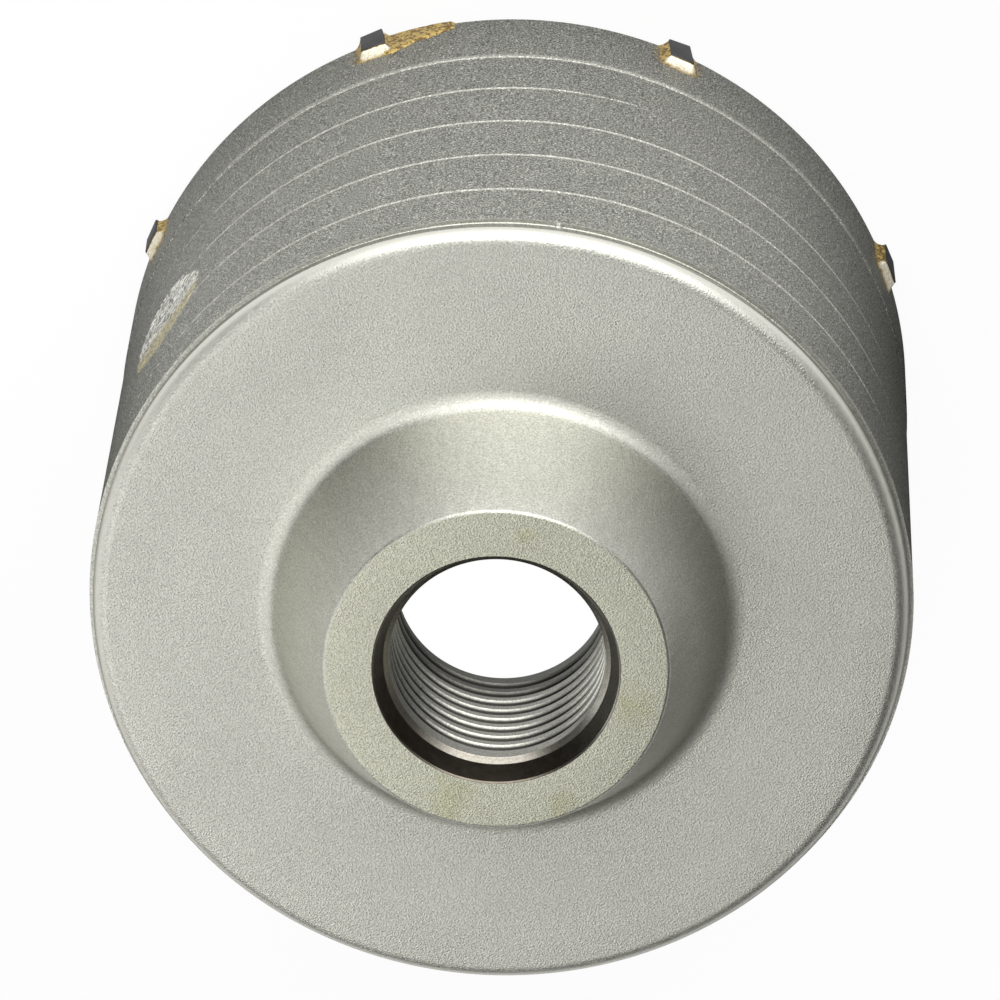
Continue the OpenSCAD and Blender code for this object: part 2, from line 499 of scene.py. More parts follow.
def prism(name, outline, low_r, high_r):
    """A closed block along X. Its outline has four points, across and up."""
    corners = [(r, across, up) for r in (low_r, high_r) for across, up in outline]
    faces = [(3, 2, 1, 0), (4, 5, 6, 7)] + [(i, (i + 1) % 4, (i + 1) % 4 + 4, i + 4) for i in range(4)]
    return edited(mesh_of(name, corners, faces),
                  lambda form: bmesh.ops.recalc_face_normals(form, faces=form.faces))


def trimmed(name, mesh, cutter, operation="DIFFERENCE"):
    """A mesh after a Boolean with another mesh."""
    first, second = shown(name, mesh), shown("cutter", cutter)
    modifier = first.modifiers.new("trim", "BOOLEAN")
    modifier.operation = operation
    modifier.object = second
    modifier.solver = "EXACT"
    made = plain_mesh(first, modifier)
    bpy.data.objects.remove(second)
    return made


# Cup

def arc(centre, radius, start, end, steps):
    """Points of an arc, with its angles in degrees."""
    turns = [math.radians(start + (end - start) * i / steps) for i in range(steps + 1)]
    return [(centre[0] + radius * math.cos(t), centre[1] + radius * math.sin(t)) for t in turns]


def rounded(first, corner, last, steps):
    """Points of a soft curve from first to last that leaves the corner out."""
    shares = [i / steps for i in range(steps + 1)]
    return [tuple(a * (1 - t) ** 2 + 2 * c * t * (1 - t) + b * t * t for a, c, b in zip(first, corner, last))
            for t in shares]


def steps_between(first, last, step):
    """Points from first to just before last, no further apart than a step."""
    count = max(1, math.ceil(math.dist(first, last) / step))
    return [tuple(a + (b - a) * i / count for a, b in zip(first, last)) for i in range(count)]


def cup_section(cup, thread):
    """Two half sections: bore's mouth to the ledge, and the band's ring to the bore's inner end."""
    inside = (thread.mouth_r + thread.root_r) / 2
    barrel_r = cup.cup_r - cup.band_step
    forged_r = barrel_r - cup.ledge_w
    ledge_z = cup.back_z - cup.corner_r - cup.ledge_h
    inner_r = cup.cup_r - cup.wall
    web_z = cup.back_z - cup.web
    band_z = cup.rim_z + cup.band_h
    slope = math.atan((cup.hub_base_r - cup.hub_r) / (cup.hub_z - cup.back_z))
    fillet_rise = cup.hub_fillet_r * (1 - math.sin(slope))
    fillet_r = cup.hub_base_r - fillet_rise * math.tan(slope) + cup.hub_fillet_r * math.cos(slope)
    hub_side = (cup.hub_r + cup.hub_edge * math.tan(slope), cup.hub_z - cup.hub_edge)
    foot = arc((fillet_r, cup.back_z + cup.hub_fillet_r), cup.hub_fillet_r,
               180 + math.degrees(slope), 270, 12)
    corner = arc((forged_r - cup.corner_r, cup.back_z - cup.corner_r), cup.corner_r, 90, 0, 16)
    hollow = arc((inner_r - cup.inner_corner_r, web_z - cup.inner_corner_r), cup.inner_corner_r, 0, 90, 16)
    upper = [(inside, cup.hub_z)]
    upper += rounded((cup.hub_r - cup.hub_edge, cup.hub_z), (cup.hub_r, cup.hub_z), hub_side, 6)
    upper += steps_between(hub_side, foot[0], 3 * MM)[1:] + foot
    upper += steps_between(foot[-1], corner[0], 4 * MM)[1:] + corner
    under_lip = forged_r - cup.lip
    upper += [(under_lip, corner[-1][1] - 2.5 * cup.lip), (under_lip + cup.lip / 3, ledge_z + cup.lip)]
    upper += [(under_lip + 1.5 * cup.lip, ledge_z), (barrel_r - cup.lip, ledge_z)]

    step = cup.band_step + cup.ring_depth
    lower = [(barrel_r, band_z + cup.ring_runout)]
    lower += [(cup.cup_r - step + step * across, band_z - cup.band_round + cup.band_round * up)
              for across, up in arc((0, 0), 1, 90, 0, 8)]
    broken = cup.edge_break
    for end in ((cup.cup_r, cup.rim_z + broken), (cup.cup_r - broken, cup.rim_z),
                (inner_r + broken, cup.rim_z), (inner_r, cup.rim_z + broken), hollow[0]):
        lower += steps_between(lower[-1], end, 4 * MM)[1:] + [end]
    lower += hollow[1:]
    lower += steps_between(lower[-1], (inside, web_z), 5 * MM)[1:] + [(inside, web_z)]
    return upper, lower


def climbing_rows(radius, height, climb, offsets, low, high):
    """Rows that climb by one lead a turn, from below low to above high."""
    first = math.floor((low - height) / climb) - 1
    last = math.ceil((high - height) / climb) + 1
    return [(radius, height + turn * climb + offset, climb)
            for turn in range(first, last + 1) for offset in offsets]


def cup_blank(cup, spiral, thread):
    """Closed turned mesh. Rows that climb join the next ones at the seam."""
    upper, lower = cup_section(cup, thread)
    half_flat, third = thread.root_flat / 2, spiral.lead / 3
    half_groove = half_flat + (thread.root_r - thread.crest_r) * math.tan(thread.flank)
    groove = (-half_groove, -half_flat, half_flat, half_groove)
    line = (0, spiral.drop, third, 2 * third, spiral.lead - spiral.rise)
    bore = climbing_rows(thread.crest_r, thread.groove_z, thread.pitch, groove,
                         cup.back_z - cup.web, cup.hub_z)
    barrel = climbing_rows(cup.cup_r - cup.band_step, spiral.height, spiral.lead, line,
                           lower[0][1], upper[-1][1])[::-1]
    rows = bore + [(r, z, 0) for r, z in upper] + barrel + [(r, z, 0) for r, z in lower]
    barrel_start = len(bore) + len(upper)
    barrel_end = barrel_start + len(barrel)

    def beyond_seam(row):
        """The row that goes on from a row after one turn."""
        if row < len(bore):
            return min(row + len(groove), len(bore) - 1)
        if barrel_start <= row < barrel_end:
            return max(row - len(line), barrel_start)
        return row

    columns = cup.columns
    turns = [c / columns for c in range(columns)]
    corners = [(r * math.cos(math.tau * turn), r * math.sin(math.tau * turn), z + climb * turn)
               for r, z, climb in rows for turn in turns]
    faces = []
    for row in range(len(rows)):
        after = (row + 1) % len(rows)
        for c in range(columns):
            d = (c + 1) % columns
            right, right_after = (row, after) if d else (beyond_seam(row), beyond_seam(after))
            loop = (row * columns + c, after * columns + c, right_after * columns + d, right * columns + d)
            faces.append(list(dict.fromkeys(loop)))
    return mesh_of("cup_blank", corners, faces, {
        "turn": turns * len(rows),
        "in_thread": [float(row < len(bore)) for row in range(len(rows)) for _ in turns],
        "in_spiral": [float(barrel_start <= row < barrel_end) for row in range(len(rows)) for _ in turns]})


def cup_tree(inputs):
    """Cuts thread, mouth, slots and ground patch into the turned blank."""
    maker, given = geometry_tree("Threaded cup", inputs)
    shape = maker.shape
    x, y, z = maker.split(shape("InputPosition"))
    turn = maker.named("turn")

    def moved(geometry, selection, radius, height):
        """Points set to a radius and a height, with their direction kept."""
        wall = maker.vector("SCALE", maker.vector("NORMALIZE", maker.xyz(x, y, 0)), Scale=radius)
        place = maker.vector("ADD", wall, maker.xyz(0, 0, height))
        return shape("SetPosition", geometry, Selection=maker.named(selection) > 0.5, Position=place)

    # Thread in the bore: a groove that climbs, with a flat root and two flanks
    height = z.held(given.bore_bottom, given.bore_top)
    across = (height - given.groove_height - given.pitch * turn).math("PINGPONG", given.pitch / 2)
    full = given.root_radius - given.crest_radius
    flank = given.flank_angle.math("TANGENT")
    depth = ((given.root_flat / 2 + full * flank - across) / flank).held(0, full)
    begins = ((height - given.bore_bottom) / given.plain_land - 1).held(0, 1)
    ends = (1 - (height - given.full_height) / given.thread_runout).held(0, 1)
    threaded = moved(given.geometry, "in_thread", given.crest_radius + depth * begins * ends, height)

    # Spiral line on the barrel: it rises to an edge and falls away towards the hub
    height = z.held(given.barrel_bottom, given.barrel_top)
    along = (height - given.line_height) / given.lead - turn
    above = (along - along.math("FLOOR")) * given.lead
    lowest = 1 - (1 - given.rise_share) * (above - given.drop) / (given.lead - given.drop - given.rise)
    depth = (above / given.drop).least(lowest).least(given.rise_share * (given.lead - above) / given.rise)
    begins = (along.math("ROUND") + turn - given.start / math.tau).rise(0, 0.02)
    ends = ((given.barrel_top - height) / given.drop).held(0, 1)
    eccentric = (turn * math.tau - given.deep_side).math("COSINE").rise(0.0, 0.9)
    barrel_r = given.barrel_radius - given.line_depth * depth * begins * ends * eccentric
    turned = moved(threaded, "in_spiral", barrel_r, height)
    closed = shape("MergeByDistance", turned, Distance=1e-7)

    def cone(low, high, bottom, top):
        made = shape("MeshCone", Vertices=given.columns, Depth=high - low,
                     Radius_Top=top, Radius_Bottom=bottom)
        return shape("Transform", made, Translation=maker.xyz(0, 0, low))

    past = 1 * MM
    foot_r = given.crest_radius + given.lead_in
    foot_z = given.bore_top - given.mouth_depth
    flare = (given.mouth_radius - foot_r) / given.mouth_depth
    mouth = cone(foot_z, given.bore_top + past, foot_r, given.mouth_radius + flare * past)
    lead = cone(foot_z - given.lead_in - past, foot_z, given.crest_radius - past, foot_r)
    broken = cone(given.bore_top - given.mouth_edge - past, given.bore_top + past,
                  given.mouth_radius - past, given.mouth_radius + given.mouth_edge + past)

    slot_bottom = given.rim_height - past
    inner, outer = given.hollow_radius - past, given.cup_radius + past
    box = shape("MeshCube", Size=maker.xyz(outer - inner, given.slot_width, given.slot_top - slot_bottom))
    middle = maker.xyz((inner + outer) / 2, 0, (slot_bottom + given.slot_top) / 2)
    upright = shape("Transform", box, Translation=middle)
    shift = (given.tip_middle - z) * given.tip_lean.math("TANGENT")
    slots = around(maker, shape("SetPosition", upright, Offset=maker.xyz(0, shift, 0)), given.tips)

    wheel = shape("MeshCylinder", Vertices=1024, Radius=given.wheel_radius, Depth=given.cup_radius * 2)
    leaning = shape("Transform", wheel, Rotation=maker.xyz(given.patch_lean + math.pi / 2, 0, 0),
                    Translation=maker.xyz(given.wheel_distance, 0, given.patch_height))
    grinder = shape("Transform", leaning, Rotation=maker.xyz(0, 0, given.patch_direction))

    cut = shape("MeshBoolean", settings={"operation": "DIFFERENCE", "solver": "EXACT"},
                Mesh_1=closed, Mesh_2=[mouth, lead, broken, slots, grinder])
    return end_tree(maker, sharp_edges(maker, cut, 8, cut.also("Intersecting Edges")), given.material)


def grain_of(maker, point, looks):
    """The blasted grain, its coarser pits and a slow cloud, each about 0.5."""
    fineness = MM / looks.grain
    fine = maker.noise(point, fineness, 2, 0.55)
    pits = maker.noise(point, 0.45 * fineness)
    return fine, pits, maker.noise(point, 0.09, 3, 0.55)


def facing(x, y, radius, heading):
    """Cosine of the angle from a heading in degrees."""
    turn = math.radians(heading)
    return (x * math.cos(turn) + y * math.sin(turn)) / radius


def spots_on_hub(maker, point, cup):
    """Oil stains on the hub's face, each with a ragged edge."""
    ragged = maker.noise(point, 0.8, 3, 0.6)
    stained = None
    for heading, out, size in ((-129, 14.0, 3.4), (-36, 13.2, 3.0), (58, 13.8, 1.6), (-87, 14.9, 2.0)):
        centre = direction(heading, 0) * out
        centre.z = cup.hub_z / MM
        spot = (maker.distance(point, centre) / size + (ragged - 0.5) * 1.6).rise(0.9, 0.2)
        stained = stained.most(spot) if stained else spot
    return stained


def worn_lines(x, y, z, cup, spiral):
    """Worn edges on the wall: the spiral line and the band's edge."""
    turn = y.math("ARCTAN2", x) / math.tau
    turn = turn - turn.math("FLOOR")
    along = (z - spiral.height / MM) / (spiral.lead / MM) - turn
    above = (along - along.math("FLOOR")) * (spiral.lead / MM)
    begun = (along.math("FLOOR") + turn - spiral.start / math.tau).rise(0, 0.06)
    band_z = (cup.rim_z + cup.band_h) / MM
    edge = z.rise(band_z - 0.75, band_z - 0.35) * z.rise(band_z + 0.12, band_z)
    return (above.rise(0.34, 0.24) * begun).most(edge * 0.8)


def patch_masks(maker, point, cup, patch):
    """The ground patch, its scratches, their groups, and the way across in mm."""
    wheel = patch.wheel_r / MM
    centre = direction(math.degrees(patch.turn), 0) * ((cup.cup_r - cup.band_step - patch.depth) / MM + wheel)
    centre.z = (cup.rim_z + patch.height) / MM
    local = maker.node("ShaderNodeMapping", settings={"vector_type": "TEXTURE"}, Vector=point,
                       Location=centre, Rotation=(math.pi / 2 + patch.lean, 0, patch.turn))
    wheel_x, wheel_y, wheel_z = maker.split(local)
    from_axis = (wheel_x * wheel_x + wheel_y * wheel_y).math("SQRT")
    along = wheel_y.math("ARCTAN2", wheel_x.math("ABSOLUTE")) * wheel
    lines = maker.noise(maker.xyz(along * 4.5, wheel_z * 0.4, 0), 1, 3, 0.65)
    groups = maker.noise(maker.xyz(along * 1.1, wheel_z * 0.2, 3), 1)
    ragged = maker.noise(point, 2.6, 2, 0.6)
    inside = (from_axis - wheel - (lines - 0.5) * 0.05 - (ragged - 0.5) * 0.17).rise(0.008, 0.0)
    return inside, lines, groups, along


def steel_material(bit):
    """Bead-blasted steel with its worn, ground, heated and stained places, and with painted shade and painted
    highlights.
    """
    cup, thread, tips, looks = bit.cup, bit.thread, bit.tips, bit.looks
    material, maker = shader_maker("blasted_steel_finish")
    point = maker.place()
    x, y, z = maker.split(point)
    radius = (x * x + y * y).math("SQRT")
    outer, hub_z, back_z = cup.cup_r / MM, cup.hub_z / MM, cup.back_z / MM
    corner_z = back_z - cup.corner_r / MM
    ledge_z = corner_z - cup.ledge_h / MM
    web_z = back_z - cup.web / MM
    mouth_z = hub_z - thread.mouth_h / MM
    mouth_r, crest_r = thread.mouth_r / MM, thread.crest_r / MM

    # Where each finish, painted shade and painted highlight lies
    outside = radius.rise(outer - 1.5, outer - 0.9)
    on_barrel = outside * z.rise(ledge_z - 0.03, ledge_z - 0.15)
    on_strip = outside * z.rise(ledge_z + 0.05, ledge_z + 0.15) * z.rise(corner_z + 0.1, corner_z - 0.1)
    # Painted shade: brown under the corner's overhang, where the step lies in shadow
    under_corner_shade = outside * z.rise(corner_z - 0.3, corner_z - 0.1) * z.rise(corner_z + 0.25, corner_z)
    smooth_corner_sheen = outside * z.rise(corner_z, corner_z + 0.3) * z.rise(back_z - 0.01, back_z - 0.2)
    smooth_foot_sheen = z.rise(back_z + 0.01, back_z + 0.06) * z.rise(back_z + 0.9, back_z + 0.4)
    # Painted highlight: the smoother corner and foot are painted lighter, towards the ground steel's colour
    smooth = (smooth_corner_sheen * 0.8).most(smooth_foot_sheen * 0.3)
    hub_face = z.rise(hub_z - 0.05, hub_z - 0.01)
    on_cone = z.rise(back_z + 0.05, back_z + 0.5) * (1 - hub_face)
    in_bore = radius.rise(mouth_r + 0.12, mouth_r + 0.02)
    in_thread = radius.rise(crest_r + 0.05, crest_r + 0.3) * in_bore * z.rise(mouth_z - 0.2, mouth_z - 0.6)
    in_mouth = in_bore * z.rise(mouth_z - 0.6, mouth_z - 0.45)
    in_cone = in_bore * z.rise(mouth_z - 0.1, mouth_z + 0.2)
    deep_inside = in_bore * z.rise(web_z + 5.45, web_z + 2.95)

    # Blasted faces
    fine, pits, cloud = grain_of(maker, point, looks)
    # Painted glints: bright specks on the barrel. The darker specks are the grain's own tone
    glint_noise = maker.noise(point, 5.5, 2, 0.7)
    glints_and_specks = glint_noise.rise(0.52, 0.68) * 1.7 - glint_noise.rise(0.49, 0.35) * 0.75
    speckle = (fine - 0.5) * 1.3 + (cloud - 0.5) * 0.16 + 1
    shade = (speckle + on_barrel * glints_and_specks).held(0.25, 2.6)
    streaks = maker.noise(maker.xyz(y.math("ARCTAN2", x) * 26, z * 0.25, 0), 1, 2, 0.6)
    shade = shade + on_cone * (streaks - 0.5) * 0.22
    # Painted highlight: the grain is lifted to full brightness on the smooth corner and foot
    shade = shade + (1.02 - shade) * smooth
    filmed = hub_face * ((pits - 0.5) * 0.8 + 0.75).held(0, 1)
    stained = hub_face * spots_on_hub(maker, point, cup) * 0.4

    # Steel beside the tips that the brazing heated
    half = tips.width / MM / 2
    beside = (y.math("ARCTAN2", x).math("PINGPONG", math.pi / tips.count) * outer - half).most(0)
    behind = (z - tips.seat_z / MM).most(0)
    spread = (beside * beside + behind * behind).math("SQRT") + (pits - 0.5) * 2.4
    scorched = spread.rise(1.7, 0.6) * radius.rise(outer - 0.4, outer - 0.2)
    # The barrel and the strip under the corner take the barrel colour, which is partly the steel's own tone
    # and partly painted shade
    base = maker.coated(
        looks.steel, (on_barrel, looks.barrel), (on_strip * 0.9, looks.barrel),
        (under_corner_shade * 0.6, looks.brown_film_and_shade), (filmed, looks.film), (stained, looks.stain),
        (smooth, looks.bright), (scorched * 0.6, looks.scorch))

    # Ground patch: bright on one side and warm on the other, with scratches round the barrel
    ground, lines, groups, across = patch_masks(maker, point, cup, bit.patch)
    ground = ground * radius.rise(outer - 2.1, outer - 1.6) * outside
    metal = maker.mix((across + (groups - 0.5) * 4).rise(-1.5, 1.5), looks.bright, looks.warm)
    scratched = ((lines - 0.5) * 3.2 + (groups - 0.5) * 1.2 + 1.0).held(0.12, 1.35)
    base = maker.mix(ground, maker.tint(base, shade), maker.tint(metal, scratched))

    # Worn edges, dotted where the line is shallow. Towards one heading they are painted fuller, a painted
    # highlight where the key lamp lights the line
    dots = maker.noise(point, 1.9, 2, 0.6) + facing(x, y, radius, WORN_AND_LIT_SIDE).rise(0.35, 0.8) * 0.45
    worn_and_lit_lines = worn_lines(x, y, z, cup, bit.spiral) * outside * dots.rise(0.5, 0.8)

    # Bore: dark residue and painted shade in the grooves, darker towards the inner end, and painted shade on
    # the shaded side of the mouth's cone
    mottle = maker.noise(point, 1.1, 3, 0.6)
    shaded_side = facing(x, y, radius, SHADED_SIDE).rise(-0.05, 0.75)
    # Painted shade on the mouth's cone, heaviest on the shaded side and made patchy by noise
    in_cone = in_cone * (shaded_side * 0.8 + (mottle - 0.5) * 0.7 + 0.02).held(0, 0.97)
    nick = maker.distance(point, NICK).rise(0.5, 0.1)
    # Grooves: residue and painted shade. Inner end: darker. Lead-in ring: an even brown film plus painted
    # shade on the shaded side
    base = maker.coated(
        base, (worn_and_lit_lines * 0.4, looks.bright), (in_thread * 0.97, looks.oxide_and_shade),
        (deep_inside * 0.7, looks.oxide_and_shade), (in_mouth * (shaded_side * 0.5 + 0.15), looks.brown_film_and_shade),
        (in_cone, looks.brown_film_and_shade), (nick * 0.7, looks.bright))

    roughness = looks.roughness + (pits - 0.5) * 0.15 - in_bore * 0.1 - ground * 0.08 - on_cone * 0.06
    roughness = (roughness + smooth_foot_sheen * 0.12).held(0.15, 0.8)
    relief = (1 - smooth * 0.7) * (1 - in_bore * 0.85) * (1 - on_cone * 0.5) * (1 + on_barrel * 0.6)
    finish_surface(maker, (fine * relief, looks.grain_depth), (nick, 0.12 * MM),
                   Base_Color=base, Metallic=1 - ground * 0.6, Roughness=roughness)
    return material


class COREBIT_OT_cup(bpy.types.Operator):
    """Add the turned cup with its thread, slots and ground patch"""

    bl_idname = "corebit.cup"
    bl_label = "Threaded cup"

    def execute(self, context):
        bit = context.scene.core_bit
        cup, spiral, thread, patch, tips = bit.cup, bit.spiral, bit.thread, bit.patch, bit.tips
        piece = grown(
            "threaded_cup", cup_blank(cup, spiral, thread), cup_tree,
            barrel_radius=cup.cup_r - cup.band_step, barrel_bottom=cup.rim_z + cup.band_h + cup.ring_runout,
            barrel_top=cup.back_z - cup.corner_r - cup.ledge_h, lead=spiral.lead, line_height=spiral.height,
            line_depth=spiral.depth, drop=spiral.drop, rise=spiral.rise, rise_share=spiral.share,
            start=spiral.start, deep_side=spiral.deep_side, pitch=thread.pitch, crest_radius=thread.crest_r,
            root_radius=thread.root_r, root_flat=thread.root_flat, flank_angle=thread.flank,
            groove_height=thread.groove_z, plain_land=thread.land, full_height=thread.full_z,
            thread_runout=thread.runout, bore_bottom=cup.back_z - cup.web, bore_top=cup.hub_z,
            mouth_radius=thread.mouth_r, mouth_depth=thread.mouth_h, lead_in=thread.lead_in,
            mouth_edge=thread.mouth_break, rim_height=cup.rim_z, cup_radius=cup.cup_r,
            hollow_radius=cup.cup_r - cup.wall, slot_width=tips.width + 2 * tips.gap,
            slot_top=tips.seat_z + tips.gap, tips=tips.count, tip_middle=tips.seat_z / 2, tip_lean=tips.lean,
            columns=cup.columns, wheel_radius=patch.wheel_r, patch_lean=patch.lean,
            patch_direction=patch.turn, patch_height=cup.rim_z + patch.height,
            wheel_distance=cup.cup_r - cup.band_step - patch.depth + patch.wheel_r,
            material=steel_material(bit))
        keep(piece, ["core_body"])
        return {"FINISHED"}


# Tips and braze

def numbered(stem, count):
    return [f"{stem}_{i}" for i in range(1, count + 1)]


def keep(piece, nodes):
    """Attaches a finished piece to its body and hides the CAD parts that it replaces."""
    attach(piece, BODY)
    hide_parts(*nodes)


def lean_at(tips, z):
    """How far the lean carries a tip's middle sideways at a height."""
    return (tips.seat_z / 2 - z) * math.tan(tips.lean)


def block_mesh(name, tips, past=0.0):
    """One leaning tip along X. Past is how far a cutter reaches beyond it."""
    low, seat = lean_at(tips, 0), lean_at(tips, tips.seat_z)
    half, front = tips.width / 2, tips.front_width / 2
    relieved = tips.front_width * math.tan(tips.relief)
    outline = [(seat - half, tips.seat_z), (low - front, -past), (low + front, relieved - past),
               (seat + half, tips.seat_z)]
    return prism(name, outline, tips.inner_r - past, tips.outer_r + past)


def tip_mesh(tips):
    """One carbide block with rounded edges."""
    return edited(block_mesh("tip", tips), lambda form: bmesh.ops.bevel(
        form, geom=form.edges[:], offset=tips.edge_round, segments=3, profile=0.5, affect="EDGES"))


def tip_tree(inputs):
    """Copies the first tip round the rim."""
    maker, given = geometry_tree("Tips round the rim", inputs)
    return end_tree(maker, sharp_edges(maker, around(maker, given.geometry, given.count), 32), given.material)


def braze_tree(inputs):
    """Copies the joint to every tip, turns the run to its own, and roughens both."""
    maker, given = geometry_tree("Braze round the rim", inputs)
    shape = maker.shape
    run = shape("SeparateGeometry", given.geometry, settings={"domain": "POINT"},
                Selection=maker.named("run") > 0.5)
    turned = shape("Transform", run, Rotation=maker.xyz(0, 0, given.run_direction))
    joints = shape("RealizeInstances", around(maker, run.also("Inverted"), given.count))
    whole = shape("JoinGeometry", [joints, turned])
    position = shape("InputPosition")
    x, y, z = maker.split(position)
    large = maker.noise(position, given.lump_scale)
    small = maker.noise(position, given.lump_scale * 3.2, 2, 0.6)
    amount = ((large - 0.5) * 2.2 + (small - 0.5) * 1.6) * given.lump_height * maker.named("loose")
    outwards = maker.vector("NORMALIZE", maker.xyz(x, y, 0))
    rough = shape("SetPosition", whole, Offset=maker.vector("SCALE", outwards, Scale=amount))
    return end_tree(maker, sharp_edges(maker, rough, 40), given.material)


def carbide_material(looks):
    """Sintered carbide: dull dark grey, with fine pores."""
    material, maker = shader_maker("carbide_finish")
    point = maker.place()
    pores = maker.noise(point, 9, 3, 0.6)
    cloud = maker.noise(point, 0.7)
    shade = (pores - 0.5) * 0.5 + (cloud - 0.5) * 0.6 + 1
    finish_surface(maker, (pores, 0.004 * MM), Base_Color=maker.tint(looks.carbide, shade), Metallic=0.6,
                   Roughness=((pores - 0.5) * 0.3 + 0.4).held(0.2, 0.8))
    return material


class COREBIT_OT_tips(bpy.types.Operator):
    """Add the carbide tips round the rim"""

    bl_idname = "corebit.tips"
    bl_label = "Carbide tips"

    def execute(self, context):
        tips, looks = context.scene.core_bit.tips, context.scene.core_bit.looks
        piece = grown("carbide_tips", tip_mesh(tips), tip_tree, count=tips.count,
                      material=carbide_material(looks))
        keep(piece, numbered("carbide_tip", tips.count))
        return {"FINISHED"}


def shell(wide, tall, inward, place):
    """A closed block with float values: a grid of points and a copy pushed inwards.

    Place takes two shares, across and up, and gives a point and its values.
    """
    across, up = (max(8, round(size / BRAZE_STEP)) for size in (wide, tall))
    made = [place(i / across, j / up) for j in range(up + 1) for i in range(across + 1)]
    points = [point for point, _ in made]
    back = [(x - inward * x / math.hypot(x, y), y - inward * y / math.hypot(x, y), z) for x, y, z in points]
    row, count = across + 1, len(points)
    faces = []
    for a in (j * row + i for j in range(up) for i in range(across)):
        loop = (a, a + 1, a + 1 + row, a + row)
        faces += [loop, tuple(corner + count for corner in reversed(loop))]
    border = [i for i in range(row)] + [j * row + across for j in range(1, up + 1)]
    border += [up * row + i for i in range(across - 1, -1, -1)] + [j * row for j in range(up - 1, 0, -1)]
    for a, b in zip(border, border[1:] + border[:1]):
        faces.append((b, a, a + count, b + count))
    return points + back, faces, {name: [values[name] for _, values in made] * 2 for name in made[0][1]}


def on_wall(r, across, z):
    """A point at a radius, a distance round the wall and a height."""
    turn = across / r
    return r * math.cos(turn), r * math.sin(turn), z


def fillet_shell(cup, tips, braze):
    """Braze outside the wall: a hollow slope that falls away from its tip."""
    half = tips.width / 2
    reach = half + braze.side * 1.5
    top = tips.seat_z + braze.behind * 1.35

    def place(share_across, share_up):
        z = cup.rim_z + (top - cup.rim_z) * share_up
        across = reach * (2 * share_across - 1)
        side = max(abs(across) - half, 0) / braze.side
        end = max(z - tips.seat_z, 0) / braze.behind
        away = math.hypot(side, end)
        fall = max(1 - away, 0)
        height = braze.height * (0.35 * fall + 0.65 * fall ** 3) - braze.sink * min(away, 1.6) ** 2
        # Painted highlight: the steep fillet just behind the tip is painted cream
        pale = min(1.0, end * 20) * max(0.0, 1 - end * 0.9) * max(0.0, 1 - side * 1.2)
        return on_wall(cup.cup_r + height, across + lean_at(tips, z), z), {
            "loose": min(1.0, away * 2.5), "edge": min(1.0, away), "run": 0.0, "pale": pale}

    return shell(2 * reach, top - cup.rim_z, 0.6 * MM, place)


def run_shell(cup, tips, braze):
    """Braze that ran along the rim: a thin film with an uneven upper edge."""
    start = -tips.width / 2 + 0.1 * MM

    def place(share_across, share_up):
        along = 1 - share_across
        ragged = 0.1 * math.sin(9 * along + 0.6) + 0.05 * math.sin(23 * along)
        tall = braze.run_height * (1 - 0.7 * along ** 1.35 + ragged * min(1, 6 * along) * (1 - along))
        z = cup.rim_z + tall * share_up
        rim = min(1.0, (1 - share_up) * tall / (0.5 * MM), share_across * braze.run_length / (0.5 * MM))
        height = braze.run_thickness * (0.3 + 0.7 * math.sin(math.pi / 2 * rim)) - braze.sink * (1 - rim) ** 2
        return on_wall(cup.cup_r + height, start - braze.run_length * along, z), {
            "loose": min(1.0, rim + 0.3), "edge": 0.55 * (1 - rim), "run": 1.0, "pale": 0.0}

    return shell(braze.run_length, braze.run_height, 0.5 * MM, place)


def joined(name, mesh, corners, faces, values):
    """A mesh with more corners, faces and float values added."""
    count = len(mesh.vertices)
    both = {label: [item.value for item in mesh.attributes[label].data] + more
            for label, more in values.items()}
    old = [tuple(vertex.co) for vertex in mesh.vertices]
    sides = [tuple(face.vertices) for face in mesh.polygons]
    return mesh_of(name, old + corners, sides + [tuple(i + count for i in face) for face in faces], both)


def joint_mesh(cup, tips, braze):
    """Braze of one tip: fillet and slot filler, with a pocket for the tip."""
    half = tips.width / 2 + tips.gap
    top = tips.seat_z + tips.gap
    low_side, top_side = lean_at(tips, cup.rim_z), lean_at(tips, top)
    outline = [(top_side - half, top), (low_side - half, cup.rim_z),
               (low_side + half, cup.rim_z), (top_side + half, top)]
    filler = prism("filler", outline, cup.cup_r - cup.wall, cup.cup_r - 0.3 * MM)
    whole = trimmed("joint", mesh_of("fillet", *fillet_shell(cup, tips, braze)), filler, "UNION")
    return trimmed("joint", whole, block_mesh("pocket", tips, 2 * MM))


def braze_material(looks):
    """Gold braze with a painted cream highlight on the steep fillet behind each tip, burnt where it thins
    out.
    """
    material, maker = shader_maker("braze_finish")
    point = maker.place()

    def named(label):
        return maker.node("ShaderNodeAttribute", settings={"attribute_name": label}, output="Fac")

    fine = maker.noise(point, 4.2, 3, 0.65)
    patches = maker.noise(point, 1.6, 3, 0.6)
    thin = (named("edge") + (patches - 0.5) * 1.1).rise(0.5, 1.0)
    highlighted = (named("pale") + (patches - 0.5) * 0.4).rise(0.15, 0.6)
    spots = (fine + (patches - 0.5) * 1.2).rise(0.57, 0.42)
    burnt = (spots * (1 - highlighted * 0.85)).most(thin * 0.45)
    colour_here = maker.mix(burnt * 0.85, maker.mix(highlighted, looks.gold, looks.cream_highlight), looks.rust)
    finish_surface(maker, (fine, 0.06 * MM), Base_Color=maker.tint(colour_here, (fine - 0.5) * 0.8 + 1.08),
                   Metallic=0.55, Roughness=((patches - 0.5) * 0.3 + 0.4).held(0.2, 0.8))
    return material


